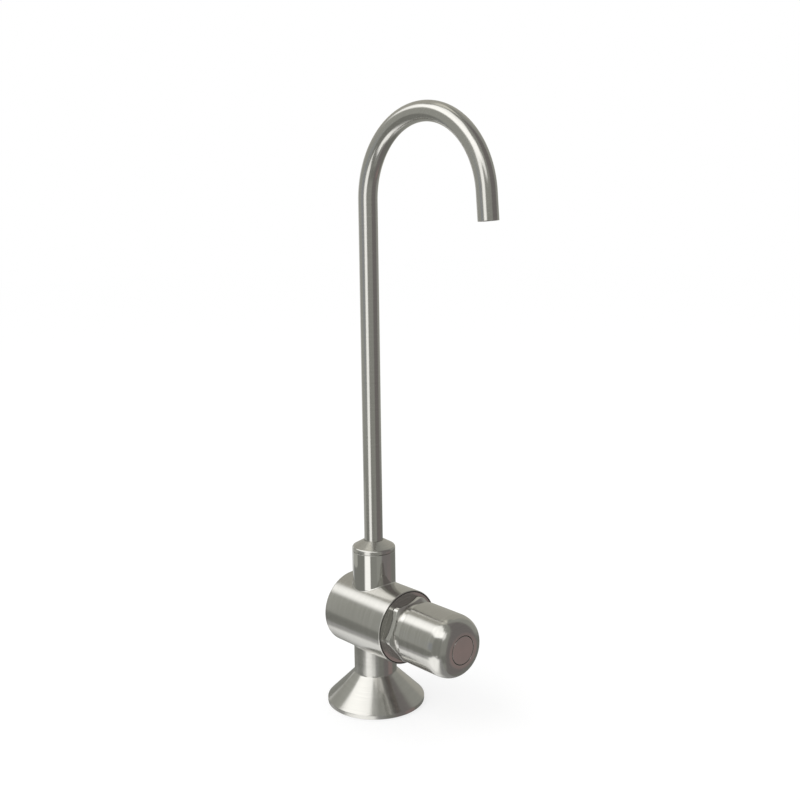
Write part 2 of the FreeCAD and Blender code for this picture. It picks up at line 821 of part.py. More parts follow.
def make_dashpot():
    """Piston that slows the return, with its lip seal and retaining clip."""
    piston = turned("dashpot_piston", [
        (piston_rear, piston_bore),
        (piston_rear, piston_radius),
        (piston_seal_rear, piston_radius),
        (piston_seal_rear, piston_seal_floor),
        (piston_seal_front, piston_seal_floor),
        (piston_seal_front, piston_radius),
        (spindle_shoulder, piston_radius),
        (spindle_shoulder, piston_bore),
    ])
    bleed = new_sketch(piston, "XY_Plane", "bleed_hole_profile", lift=piston_rear)
    bleed_place = (piston_bore + piston_seal_floor) / 2
    draw_circle(bleed, bleed_place, ZERO, mm.bleed_hole_diameter / 2)
    cut(piston, bleed, "bleed_hole", reverse=True)
    lay_forward(piston)

    inner = piston_seal_floor + mm.face_gap
    outer = timing_radius - mm.running_clearance
    rear = piston_seal_rear + mm.face_gap
    front = piston_seal_front - mm.face_gap
    middle = (inner + outer) / 2
    seal = turned("piston_seal", [
        (rear, inner),
        (rear, piston_radius),
        (front, outer),
        (front, outer - mm.piston_seal_lip),
        ((rear + front) / 2, middle),
        (front, inner + mm.piston_seal_lip),
        (front, inner),
    ])
    lay_forward(seal)

    clip = turned_ring("piston_clip", piston_rear - mm.clip_thickness, piston_rear,
                       clip_floor + mm.face_gap, spindle_rear_radius + mm.clip_width)
    opening = new_sketch(clip, "XY_Plane", "clip_opening_profile",
                         lift=piston_rear - mm.clip_thickness)
    half = mm.clip_opening / 2
    beyond = spindle_rear_radius + mm.clip_width * 2
    draw_outline(opening, [(ZERO, -half), (beyond, -half), (beyond, half), (ZERO, half)])
    cut(clip, opening, "clip_slot", reverse=True)
    lay_forward(clip)


def make_knob():
    """Push knob, with the disc let into its nose and the screw behind the disc."""
    body = turned("push_knob", [
        (knob_rear, knob_inner_radius),
        (knob_rear, knob_radius),
        (knob_front, knob_radius),
        (knob_front, disc_bore_radius),
        (disc_seat, disc_bore_radius),
        (disc_seat, screw_head_bore),
        (knob_screw_seat, screw_head_bore),
        (knob_screw_seat, tenon_bore),
        (hub_face, tenon_bore),
        (hub_face, mm.knob_hub_diameter / 2),
        (knob_end_inside, mm.knob_hub_diameter / 2),
        (knob_end_inside, knob_inner_radius - mm.knob_inner_chamfer),
        (knob_inner_corner, knob_inner_radius),
    ])
    soften(body, "Fillet", mm.knob_nose_radius, [(knob_front, knob_radius)])
    soften(body, "Chamfer", mm.knob_rear_break, [(knob_rear, knob_radius)])
    lay_forward(body)

    disc_radius = disc_bore_radius - mm.disc_gap
    disc = turned_ring("index_disc", disc_seat, knob_front, ZERO, disc_radius)
    soften(disc, "Chamfer", mm.disc_edge_break, [(knob_front, disc_radius)])
    lay_forward(disc)
    make_screw("knob_screw", knob_screw_seat, away=1)


def make_spring():
    """Return spring between the bonnet's pocket and the knob's end."""
    label = "return_spring"
    body = new_body(label)
    rear = spring_pocket_start + wire_radius + mm.face_gap
    front = knob_end_inside - wire_radius - mm.face_gap
    sketch = new_sketch(body, "XZ_Plane", "spring_wire_profile")
    draw_circle(sketch, spring_radius, rear, wire_radius)
    coil = body.newObject("PartDesign::AdditiveHelix", "spring_coil")
    coil.Profile = sketch
    coil.ReferenceAxis = (sketch, ["V_Axis"])
    coil.Mode = "height-turns-angle"
    bind(coil, "Height", front - rear)
    bind(coil, "Turns", mm.spring_turns)
    doc.recompute()
    nodes[label] = body
    lay_forward(body)


def make_boss():
    """Polished outlet boss on the barrel, bored for the spout's collar."""
    thread_floor = cap_spigot_bottom - mm.boss_thread_runout
    body = turned("outlet_boss", [
        (mm.barrel_axis_height, ZERO),
        (mm.barrel_axis_height, boss_radius),
        (boss_top, boss_radius),
        (boss_top, boss_thread_radius),
        (thread_floor, boss_thread_radius),
        (thread_floor, collar_bore_radius),
        (slip_seat, collar_bore_radius),
        (slip_seat, outlet_plenum_radius),
        (outlet_plenum_floor, outlet_plenum_radius),
        (outlet_plenum_floor, ZERO),
    ])
    cut_saddle(body)
    passage = new_sketch(body, "XY_Plane", "outlet_passage_profile",
                         lift=mm.barrel_axis_height)
    draw_circle(passage, ZERO, -outlet_offset, passage_radius)
    rise = outlet_plenum_floor - mm.barrel_axis_height
    cut(body, passage, "outlet_passage", length=rise, reverse=True)
    soften(body, "Chamfer", mm.seam_break, [(boss_top, boss_radius)])


def make_cap():
    """Conical cap that is screwed into the boss and holds the collar down."""
    body = turned("spout_cap", [
        (cap_spigot_bottom, tube_passage_radius),
        (cap_spigot_bottom, boss_thread_radius - mm.thread_clearance),
        (boss_top, boss_thread_radius - mm.thread_clearance),
        (boss_top, boss_radius),
        (band_top, boss_radius),
        (cone_top, cap_lip_radius),
        (cone_top, tube_passage_radius),
    ])
    soften(body, "Chamfer", mm.seam_break, [(boss_top, boss_radius)])


def make_collar():
    """Collar brazed on the tube's foot, its two seals and its two slip washers."""
    section = mm.large_seal_section
    collar_radius = collar_bore_radius - mm.running_clearance
    seal_radius = collar_radius - section / 2 - mm.seal_clearance
    groove_floor = seal_radius - section / 2 - mm.seal_clearance
    groove_half = section / 2 + mm.seal_clearance
    bore = tube_radius + mm.braze_gap
    middle = (collar_bottom + collar_top) / 2
    lower_seal = middle - mm.spout_seal_spacing / 2
    upper_seal = middle + mm.spout_seal_spacing / 2
    turned("spout_collar", [
        (collar_bottom, bore),
        (collar_bottom, collar_radius),
        (lower_seal - groove_half, collar_radius),
        (lower_seal - groove_half, groove_floor),
        (lower_seal + groove_half, groove_floor),
        (lower_seal + groove_half, collar_radius),
        (upper_seal - groove_half, collar_radius),
        (upper_seal - groove_half, groove_floor),
        (upper_seal + groove_half, groove_floor),
        (upper_seal + groove_half, collar_radius),
        (collar_top, collar_radius),
        (collar_top, bore),
    ])
    grouped("spout_o_rings", [
        round_seal("spout_lower_o_ring", lower_seal, seal_radius, section, laid=False),
        round_seal("spout_upper_o_ring", upper_seal, seal_radius, section, laid=False),
    ])
    slip_inner = tube_passage_radius + mm.thread_clearance
    slip_outer = collar_bore_radius - mm.running_clearance
    lower = turned_ring("lower_slip_washer", slip_seat,
                        slip_seat + mm.slip_washer_thickness, slip_inner, slip_outer)
    upper = turned_ring("upper_slip_washer", upper_slip_bottom, upper_slip_top,
                        slip_inner, slip_outer)
    grouped("spout_slip_washers", [lower, upper])


def make_tube():
    """Gooseneck: straight stem, arch and short outlet, swept as one tube."""
    label = "spout_tube"
    body = new_body(label)
    ring = new_sketch(body, "XY_Plane", "tube_section", lift=collar_bottom)
    draw_circle(ring, ZERO, ZERO, tube_radius)
    draw_circle(ring, ZERO, ZERO, tube_radius - mm.tube_wall)

    arch_across = -mm.arch_radius + mm.arch_radius * cosine(mm.arch_sweep)
    arch_up = stem_top + mm.arch_radius * sine(mm.arch_sweep)
    outlet_across = arch_across - mm.outlet_length * sine(mm.arch_sweep)
    outlet_up = arch_up + mm.outlet_length * cosine(mm.arch_sweep)
    bottom = FreeCAD.Vector(0, collar_bottom.value, 0)
    stem_end = FreeCAD.Vector(0, stem_top.value, 0)
    arch_end = FreeCAD.Vector(arch_across.value, arch_up.value, 0)
    outlet_end = FreeCAD.Vector(outlet_across.value, outlet_up.value, 0)
    centre = FreeCAD.Vector(-mm.arch_radius.value, stem_top.value, 0)
    circle = Part.Circle(centre, FreeCAD.Vector(0, 0, 1), mm.arch_radius.value)
    sweep = math.radians(mm.arch_sweep.value)

    path = new_sketch(body, "YZ_Plane", "tube_path")
    path.addGeometry([
        Part.LineSegment(bottom, stem_end),
        Part.ArcOfCircle(circle, 0, sweep),
        Part.LineSegment(arch_end, outlet_end),
    ])
    path.addConstraint(Sketcher.Constraint("Coincident", 0, 2, 1, 1))
    path.addConstraint(Sketcher.Constraint("Coincident", 1, 2, 2, 1))
    hold_point(path, 0, 1, ZERO, collar_bottom)
    hold_point(path, 0, 2, ZERO, stem_top)
    hold_point(path, 1, 3, -mm.arch_radius, stem_top)
    rule = Sketcher.Constraint("DistanceY", -1, 1, 1, 2, arch_up.value)
    path.renameConstraint(path.addConstraint(rule), "arch_end_height")
    bind(path, "Constraints.arch_end_height", arch_up)
    hold_point(path, 2, 2, outlet_across, outlet_up)

    pipe = body.newObject("PartDesign::AdditivePipe", "tube_sweep")
    pipe.Profile = ring
    pipe.Spine = path
    doc.recompute()
    nodes[label] = body


def check_document():
    """Stop where an object failed, or where a piece is empty or not sound."""
    for item in doc.Objects:
        if "Invalid" in item.State or "Error" in item.State:
            raise ValueError(f"{item.Name} failed: {item.State}")
    for label, piece in nodes.items():
        shape = piece.Shape
        if shape.isNull() or not shape.isValid() or not shape.Solids:
            raise ValueError(f"{label} has no sound solid")


def export_parts():
    """Write each piece to its own file and print what it holds."""
    os.makedirs("parts", exist_ok=True)
    for label, piece in nodes.items():
        piece.Shape.exportStep(f"parts/{label}.step")
        volume = piece.Shape.Volume
        print(f"{label}: {len(piece.Shape.Solids)} solid, {volume:.1f} cubic mm")


make_foot()
make_inlet_fittings()
make_barrel()
make_seat_and_cage()
make_bonnet()
make_gland()
make_spindle()
make_valve_head()
make_dashpot()
make_knob()
make_spring()
make_boss()
make_cap()
make_collar()
make_tube()
doc.recompute()
check_document()
export_parts()
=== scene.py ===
import json
import math

import bpy
import numpy as np
from mathutils import Matrix, Vector


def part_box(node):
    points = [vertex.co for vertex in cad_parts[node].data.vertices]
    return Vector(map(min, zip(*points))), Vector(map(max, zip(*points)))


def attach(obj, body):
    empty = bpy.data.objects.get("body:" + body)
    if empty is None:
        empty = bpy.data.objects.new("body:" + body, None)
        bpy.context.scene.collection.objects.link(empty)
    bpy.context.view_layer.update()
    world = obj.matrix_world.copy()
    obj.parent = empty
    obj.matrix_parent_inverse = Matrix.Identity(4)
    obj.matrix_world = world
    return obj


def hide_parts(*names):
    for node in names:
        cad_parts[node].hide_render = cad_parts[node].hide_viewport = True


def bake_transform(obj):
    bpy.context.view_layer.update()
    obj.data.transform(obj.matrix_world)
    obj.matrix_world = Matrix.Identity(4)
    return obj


# Bottle filling tap: a push-button gooseneck tap in turned and polished stainless steel.
# The part's lengths are in millimetres, and meshes are scaled to metres as they are made.
# "Along" is a place on a turned piece's own axis: upwards on an upright piece, and forwards
# (towards -Y) on a piece that lies along the barrel.

MM = 0.001
TURNING_MAP = "turning"

# How fine the meshes are: faces round a turned piece, round the tube and round the spring's
# wire, rings in a turn of the spring, and rings along the spout's stem and its arch
SEGMENTS = 192
TUBE_SEGMENTS = 96
WIRE_SEGMENTS = 16
COIL_STEPS = 48
STEM_STEPS = 6
ARCH_STEPS = 88

# Round edges: the smallest radius, the share of a line that an edge may take, and the turn
# from face to face, which is finer where the radius is large
SMALLEST_EDGE = 0.08
EDGE_SHARE = 0.9
LARGE_EDGE = 0.8
LARGE_EDGE_STEP = math.radians(4)
SMALL_EDGE_STEP = math.radians(18)

# A ring with a smaller radius is a pole, one point on the axis
POLE_RADIUS = 1e-6

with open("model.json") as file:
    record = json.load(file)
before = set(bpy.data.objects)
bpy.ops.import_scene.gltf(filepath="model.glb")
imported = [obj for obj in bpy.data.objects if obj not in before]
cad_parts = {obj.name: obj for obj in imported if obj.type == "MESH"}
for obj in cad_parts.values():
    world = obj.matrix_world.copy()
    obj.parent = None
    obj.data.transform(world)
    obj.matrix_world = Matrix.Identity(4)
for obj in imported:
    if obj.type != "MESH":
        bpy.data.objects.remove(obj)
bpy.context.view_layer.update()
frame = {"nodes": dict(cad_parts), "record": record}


def extent(node):
    """Lowest and highest corner of a CAD node, in millimetres."""
    low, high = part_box(node)
    return low / MM, high / MM


# Foot
foot_radius = extent("foot")[1].x
foot_rim_height = 2.2
foot_edge = 0.4
foot_rim_edge = 0.3
neck_radius = 11.1
neck_fillet = 1.0
gasket_inner, gasket_outer, gasket_recess = 14.0, 22.0, 1.2
inlet_radius, inlet_undercut, undercut_start = 10.48, 10.78, 11.2
socket_depth, restrictor_bore, restrictor_top = 14.0, 8.6, 16.75
plenum_radius, plenum_top = 7.6, 18.55

# Barrel
barrel_low, barrel_high = extent("barrel")
barrel_radius = (barrel_high.z - barrel_low.z) / 2
axis_height = (barrel_high.z + barrel_low.z) / 2
barrel_front, barrel_rear = -barrel_low.y, -barrel_high.y
barrel_edge, barrel_front_edge = 1.0, 0.5
groove_outer, groove_inner, groove_depth = 18.5, 18.12, 0.35
seal_bore, seal_floor = 14.26, 23.6
thread_bore, thread_start = 13.0, 12.45
cage_bore, seat_rear = 12.4, -1.75
chamber_bore, chamber_end = 9.5, -14.7

# Brazed joints of the foot and the boss with the barrel: the fillet and its rings, the depth
# of the pole that closes the piece inside the barrel, and the wall that the fillet replaces
joint_fillet, joint_points = 0.4, 5
joint_sink = 1.0
joint_stub = 4.0

# Bonnet
bonnet_low, bonnet_high = extent("bonnet")
bonnet_nose, bonnet_rear = -bonnet_low.y, -bonnet_high.y
spigot_radius, spigot_bore = 12.9, 8.6
hex_flat_radius = 15.0
hex_half_side = math.radians(30)
hex_corner_radius = hex_flat_radius / math.cos(hex_half_side)
hex_corner_round = 4.0
hex_corner_points, hex_flat_points = 17, 24
hex_corner_margin = math.radians(1)
hex_corner_centre = (hex_flat_radius - hex_corner_round) / math.cos(hex_half_side)
hex_corner_reach = math.atan2(
    hex_corner_round * math.sin(hex_half_side),
    hex_corner_centre + hex_corner_round * math.cos(hex_half_side),
)
hex_front = barrel_front + 5.8
hex_turn = math.radians(38)
hex_chamfer_radius = hex_flat_radius - 0.3
hex_chamfer_slope = math.tan(math.radians(30))
hex_edge, hex_fine_edge, hex_chamfer_edge, hex_front_edge = 0.2, 0.06, 0.04, 0.1
bonnet_turn_points = 3
slide_radius = 14.2
guide_start, guide_end, guide_floor = 43.5, 47.5, 13.2
pocket_radius, pocket_start = 11.7, 38.0
gland_bore, gland_end = 6.6, 29.0
nose_edge = 0.4

# Knob and its disc
knob_low, knob_high = extent("push_knob")
knob_radius = (knob_high.z - knob_low.z) / 2
knob_front, knob_rear = -knob_low.y, -knob_high.y
knob_bore, knob_corner_start, knob_floor, knob_floor_radius = 14.5, 58.0, 60.0, 12.5
nose_back, nose_in, nose_power, nose_points = 9.4, 8.3, 2.35, 29
knob_rear_edge, recess_edge = 0.3, 0.15
hub_radius, hub_face, tenon_bore = 6.5, 56.0, 2.35
screw_bore, screw_seat = 3.15, 60.7
disc_low, disc_high = extent("index_disc")
disc_radius = (disc_high.z - disc_low.z) / 2
disc_seat = -disc_high.y
disc_recess = disc_radius + 0.27
disc_edge = 0.2

# Return spring
spring_low, spring_high = extent("return_spring")
wire_radius, spring_turns = 0.6, 6
spring_radius = spring_high.x - wire_radius
spring_rear, spring_front = -spring_high.y + wire_radius, -spring_low.y - wire_radius

# Boss, cap and spout
boss_high = extent("outlet_boss")[1]
boss_radius, boss_top = boss_high.x, boss_high.z
boss_thread, boss_thread_floor = 9.2, 79.2
collar_bore, slip_seat = 8.4, 70.2
outlet_bore, boss_floor = 7.2, 68.6
cap_low, cap_high = extent("spout_cap")
cap_band_top = boss_top + 2.0
cap_spigot = boss_thread - 0.1
cap_lip, cap_bore = 5.24, 4.84
cap_shoulder, cap_lip_edge, cap_bore_edge = 1.4, 0.15, 0.1
seam_gap, seam_edge = 0.12, 0.18
tube_low, tube_high = extent("spout_tube")
tube_radius = tube_high.x
tube_wall = 0.9
tube_edge, tube_edge_middle = 0.15, 0.3
arch_radius = 40.1
arch_sweep = math.radians(175)
outlet_length = 12.5
stem_top = tube_high.z - tube_radius - arch_radius


# Turned meshes

def rounded(outline, loop=True):
    """Points (along, radius) of an outline whose corners are (along, radius, edge radius).
    The two ends of an outline that isn't a loop stay as they are."""
    points = []
    for index, (along, radius, edge) in enumerate(outline):
        here = Vector((along, radius))
        if not loop and index in (0, len(outline) - 1):
            points.append(here)
            continue
        before = Vector(outline[index - 1][:2]) - here
        after = Vector(outline[(index + 1) % len(outline)][:2]) - here
        turn = math.pi - before.angle(after)
        room = EDGE_SHARE * min(before.length, after.length)
        cut = min(max(edge, SMALLEST_EDGE) * math.tan(turn / 2), room)
        arc_radius = cut / math.tan(turn / 2)
        step = LARGE_EDGE_STEP if arc_radius > LARGE_EDGE else SMALL_EDGE_STEP
        count = max(2, math.ceil(turn / step))
        inwards = (before.normalized() + after.normalized()).normalized()
        centre = here + inwards * (arc_radius / math.cos(turn / 2))
        first = here + before.normalized() * cut - centre
        last = here + after.normalized() * cut - centre
        for share in np.linspace(0, 1, count + 1):
            arm = first * math.sin((1 - share) * turn) + last * math.sin(share * turn)
            points.append(centre + arm / math.sin(turn))
    return [(point.x, point.y) for point in points]


def even_angles(count=SEGMENTS):
    """Angles of the points of a ring."""
    return np.arange(count) * math.tau / count


def upright(along, radius, angles):
    """A ring about the upright axis. Along and radius may change with the angle."""
    if np.max(radius) < POLE_RADIUS:
        return np.array([[0.0, 0.0, np.max(along)]])
    up = np.broadcast_to(along, angles.shape)
    return np.stack([radius * np.cos(angles), radius * np.sin(angles), up], axis=1)


def laid(along, radius, angles):
    """A ring about the barrel's axis. Along and radius may change with the angle."""
    if np.max(radius) < POLE_RADIUS:
        return np.array([[0.0, -np.max(along), axis_height]])
    back = -np.broadcast_to(along, angles.shape)
    return np.stack([radius * np.cos(angles), back, axis_height + radius * np.sin(angles)], axis=1)


def shade_by_area(mesh):
    """Point normals that follow the large faces, so that small round edges shade cleanly."""
    normal = np.empty(len(mesh.polygons) * 3)
    area = np.empty(len(mesh.polygons))
    corners = np.empty(len(mesh.polygons), dtype=int)
    point = np.empty(len(mesh.loops), dtype=int)
    mesh.polygons.foreach_get("normal", normal)
    mesh.polygons.foreach_get("area", area)
    mesh.polygons.foreach_get("loop_total", corners)
    mesh.loops.foreach_get("vertex_index", point)
    weighted = normal.reshape(-1, 3) * area[:, None]
    summed = np.zeros((len(mesh.vertices), 3))
    np.add.at(summed, point, np.repeat(weighted, corners, axis=0))
    summed /= np.maximum(np.linalg.norm(summed, axis=1, keepdims=True), 1e-20)
    mesh.normals_split_custom_set_from_vertices(summed)


def skin(name, rings, loop=False):
    """A piece from rings of points, where a ring of one point is a pole. The faces look
    outwards where the rings run forwards on the outside. The map's U runs from ring to
    ring, in metres, and its V runs round them."""
    starts = np.cumsum([0] + [len(ring) for ring in rings])
    points = np.concatenate(rings) * MM
    count = max(len(ring) for ring in rings)
    run = [0.0]
    order = list(range(len(rings))) + ([0] if loop else [])
    for before, after in zip(order, order[1:]):
        run.append(run[-1] + np.linalg.norm(points[starts[after]] - points[starts[before]]))
    faces, marks = [], []
    for place, (low, high) in enumerate(zip(order, order[1:])):
        u_low, u_high = run[place], run[place + 1]
        for step in range(count):
            ahead = (step + 1) % count
            v_low, v_high = step / count, (step + 1) / count
            a, b = starts[low] + step, starts[low] + ahead
            c, d = starts[high] + ahead, starts[high] + step
            if len(rings[low]) == 1:
                faces.append((starts[low], c, d))
                marks += [(u_low, v_low), (u_high, v_high), (u_high, v_low)]
            elif len(rings[high]) == 1:
                faces.append((a, b, starts[high]))
                marks += [(u_low, v_low), (u_low, v_high), (u_high, v_low)]
            else:
                faces.append((a, b, c, d))
                marks += [(u_low, v_low), (u_low, v_high), (u_high, v_high), (u_high, v_low)]
    mesh = bpy.data.meshes.new(name)
    mesh.from_pydata(points.tolist(), [], [[int(i) for i in face] for face in faces])
    layer = mesh.uv_layers.new(name=TURNING_MAP)
    layer.uv.foreach_set("vector", np.array(marks, dtype=np.float32).ravel())
    mesh.polygons.foreach_set("use_smooth", [True] * len(mesh.polygons))
    mesh.update()
    shade_by_area(mesh)
    piece = bpy.data.objects.new(name, mesh)
    bpy.context.scene.collection.objects.link(piece)
    return piece


def barrel_skin(radius, angles, side):
    """Height of the barrel's surface, above its axis (side 1) or below it (side -1)."""
    return axis_height + side * np.sqrt(barrel_radius ** 2 - (radius * np.cos(angles)) ** 2)


def brazed_end(radius, side):
    """Rings (along, radius) from an upright wall through a small fillet on to the barrel, and
    a pole inside it."""
    angles = even_angles()
    rings = []
    for turn in np.linspace(0, math.pi / 2, joint_points):
        reach = radius + joint_fillet * (1 - math.cos(turn))
        gap = joint_fillet * (1 - math.sin(turn))
        rings.append((barrel_skin(reach, angles, side) + side * gap, reach))
    rings.append((axis_height + side * (barrel_radius - joint_sink), 0.0))
    return rings


def make_foot():
    angles = even_angles()
    shoulder = foot_rim_height + foot_radius - neck_radius
    outline = [
        (plenum_top, 0, 0),
        (plenum_top, plenum_radius, 0),
        (restrictor_top, plenum_radius, 0),
        (restrictor_top, restrictor_bore, 0),
        (socket_depth, restrictor_bore, 0),
        (socket_depth, inlet_undercut, 0),
        (undercut_start, inlet_undercut, 0),
        (undercut_start, inlet_radius, 0),
        (0, inlet_radius, 0),
        (0, gasket_inner, 0),
        (gasket_recess, gasket_inner, 0),
        (gasket_recess, gasket_outer, 0),
        (0, gasket_outer, 0),
        (0, foot_radius, foot_edge),
        (foot_rim_height, foot_radius, foot_rim_edge),
        (shoulder, neck_radius, neck_fillet),
        (shoulder + joint_stub, neck_radius, 0),
    ]
    rings = rounded(outline, loop=False)[:-1] + brazed_end(neck_radius, -1)
    return skin("tap_foot", [upright(*ring, angles) for ring in rings])


def make_barrel():
    angles = even_angles()
    outline = [
        (barrel_rear, 0, 0),
        (barrel_rear, barrel_radius, barrel_edge),
        (barrel_front, barrel_radius, barrel_front_edge),
        (barrel_front, groove_outer, 0),
        (barrel_front - groove_depth, groove_outer, 0),
        (barrel_front - groove_depth, groove_inner, 0),
        (barrel_front, groove_inner, 0),
        (barrel_front, seal_bore, 0),
        (seal_floor, seal_bore, 0),
        (seal_floor, thread_bore, 0),
        (thread_start, thread_bore, 0),
        (thread_start, cage_bore, 0),
        (seat_rear, cage_bore, 0),
        (seat_rear, chamber_bore, 0),
        (chamber_end, chamber_bore, 0),
        (chamber_end, 0, 0),
    ]
    rings = rounded(outline, loop=False)
    return skin("tap_barrel", [laid(*ring, angles) for ring in rings])


def hexagon(angles):
    """Radius of the hexagon at each angle, with its corners rounded."""
    off_flat = (angles - hex_turn + hex_half_side) % (2 * hex_half_side) - hex_half_side
    off_corner = hex_half_side - np.abs(off_flat)
    flat = hex_flat_radius / np.cos(off_flat)
    side = np.minimum(hex_corner_centre * np.sin(off_corner), hex_corner_round)
    depth = np.sqrt(hex_corner_round ** 2 - side ** 2)
    corner = hex_corner_centre * np.cos(off_corner) + depth
    return np.where(off_corner < hex_corner_reach, corner, flat)


def hexagon_angles():
    """Angles that are close together at the hexagon's corners."""
    corner = np.linspace(-hex_corner_reach, hex_corner_reach, hex_corner_points)
    margin = hex_corner_reach + hex_corner_margin
    flat = np.linspace(margin, 2 * hex_half_side - margin, hex_flat_points)
    sixth = np.concatenate([corner, flat])
    first = hex_turn + hex_half_side
    return np.concatenate([first + sixth + 2 * hex_half_side * side for side in range(6)])


def make_bonnet():
    angles = hexagon_angles()
    across = hexagon(angles)
    full_chamfer = hex_front - (hex_corner_radius - hex_chamfer_radius) * hex_chamfer_slope
    chamfer_start = full_chamfer + (hex_corner_radius - across) * hex_chamfer_slope
    rings = [
        (bonnet_rear, spigot_bore),
        (bonnet_rear, spigot_radius),
        (barrel_front, spigot_radius),
        (barrel_front, across - hex_edge),
        (barrel_front + hex_fine_edge, across - hex_fine_edge),
        (barrel_front + hex_edge, across),
        (chamfer_start - 2 * hex_fine_edge, across),
        (chamfer_start + hex_chamfer_edge, across - hex_fine_edge),
        (chamfer_start + hex_edge, across - hex_edge / hex_chamfer_slope),
        (hex_front - hex_front_edge, hex_chamfer_radius + hex_front_edge / hex_chamfer_slope),
        (hex_front, hex_chamfer_radius - hex_front_edge),
    ]
    inside = [
        (hex_front, hex_chamfer_radius, 0),
        (hex_front, slide_radius, 0),
        (guide_start, slide_radius, 0),
        (guide_start, guide_floor, 0),
        (guide_end, guide_floor, 0),
        (guide_end, slide_radius, 0),
        (bonnet_nose, slide_radius, nose_edge),
        (bonnet_nose, pocket_radius, nose_edge),
        (pocket_start, pocket_radius, 0),
        (pocket_start, gland_bore, 0),
        (gland_end, gland_bore, 0),
        (gland_end, spigot_bore, 0),
        (bonnet_rear, spigot_bore, 0),
    ]
    # The line that closes the inside's outline isn't a surface, so the points that turn on to
    # it at both ends are dropped
    rings += rounded(inside)[bonnet_turn_points:-bonnet_turn_points]
    return skin("tap_bonnet", [laid(*ring, angles) for ring in rings], loop=True)


def nose_outline():
    """The round of the knob's nose, which leaves the flank and the face without a step in
    curvature, so that highlights run over it smoothly."""
    points = []
    for turn in np.linspace(0, math.pi / 2, nose_points):
        ahead = abs(math.sin(turn)) ** (2 / nose_power)
        aside = abs(math.cos(turn)) ** (2 / nose_power)
        along = knob_front - nose_back * (1 - ahead)
        points.append((along, knob_radius - nose_in * (1 - aside)))
    return points


def make_knob():
    angles = even_angles()
    outline = [
        (knob_rear, knob_bore, 0),
        (knob_rear, knob_radius, knob_rear_edge),
        (knob_front, knob_radius, nose_in),
        (knob_front, disc_recess, recess_edge),
        (disc_seat, disc_recess, 0),
        (disc_seat, screw_bore, 0),
        (screw_seat, screw_bore, 0),
        (screw_seat, tenon_bore, 0),
        (hub_face, tenon_bore, 0),
        (hub_face, hub_radius, 0),
        (knob_floor, hub_radius, 0),
        (knob_floor, knob_floor_radius, 0),
        (knob_corner_start, knob_bore, 0),
    ]
    rings = rounded(outline)
    start, end = knob_front - nose_back, knob_radius - nose_in
    first = next(index for index, ring in enumerate(rings) if ring[0] > start)
    last = next(index for index in range(first, len(rings)) if rings[index][1] < end)
    rings[first:last] = nose_outline()
    return skin("tap_knob", [laid(*ring, angles) for ring in rings], loop=True)


def make_disc():
    angles = even_angles(SEGMENTS // 2)
    outline = [
        (disc_seat, 0, 0),
        (disc_seat, disc_radius, disc_edge),
        (knob_front, disc_radius, disc_edge),
        (knob_front, 0, 0),
    ]
    rings = rounded(outline, loop=False)
    return skin("knob_disc", [laid(*ring, angles) for ring in rings])


def make_spring():
    """A coil round the barrel's axis. The wire's section lies in planes through that axis."""
    section = even_angles(WIRE_SEGMENTS)
    radius = spring_radius + wire_radius * np.cos(section)
    rings = [laid(spring_rear, spring_radius, np.zeros(1))]
    for turn in np.linspace(0, spring_turns, spring_turns * COIL_STEPS + 1):
        middle = spring_rear + (spring_front - spring_rear) * turn / spring_turns
        along = middle - wire_radius * np.sin(section)
        rings.append(laid(along, radius, np.full(WIRE_SEGMENTS, turn * math.tau)))
    rings.append(laid(spring_front, spring_radius, np.zeros(1)))
    return skin("coil_spring", rings)


def make_boss():
    angles = even_angles()
    outline = [
        (boss_top - joint_stub, boss_radius, 0),
        (boss_top - seam_gap, boss_radius, seam_edge),
        (boss_top - seam_gap, boss_thread, 0),
        (boss_thread_floor, boss_thread, 0),
        (boss_thread_floor, collar_bore, 0),
        (slip_seat, collar_bore, 0),
        (slip_seat, outlet_bore, 0),
        (boss_floor, outlet_bore, 0),
        (boss_floor, 0, 0),
    ]
    rings = brazed_end(boss_radius, 1)[::-1] + rounded(outline, loop=False)[1:]
    return skin("tap_boss", [upright(*ring, angles) for ring in rings])


def make_cap():
    angles = even_angles()
    outline = [
        (cap_low.z, cap_bore, 0),
        (cap_low.z, cap_spigot, 0),
        (boss_top, cap_spigot, 0),
        (boss_top, boss_radius, seam_edge),
        (cap_band_top, boss_radius, cap_shoulder),
        (cap_high.z, cap_lip, cap_lip_edge),
        (cap_high.z, cap_bore, cap_bore_edge),
    ]
    rings = rounded(outline)
    return skin("spout_gland_cap", [upright(*ring, angles) for ring in rings], loop=True)


def spout_station(run):
    """Centre of the spout at a length from its foot, and the way out from its bend there."""
    rise = stem_top - tube_low.z
    turn = min(max(run - rise, 0) / arch_radius, arch_sweep)
    centre = Vector((0, -arch_radius, stem_top))
    forward = Vector((0, -math.sin(turn), math.cos(turn)))
    outwards = Vector((0, math.cos(turn), math.sin(turn)))
    beyond = min(run - rise, 0) + max(run - rise - arch_sweep * arch_radius, 0)
    return centre + outwards * arch_radius + forward * beyond, outwards


def spout_ring(run, radius, angles):
    """A ring about the spout's centre line at a length from its foot."""
    centre, outwards = spout_station(run)
    across = np.outer(np.cos(angles), (1, 0, 0)) + np.outer(np.sin(angles), outwards)
    return np.array(centre) + radius * across


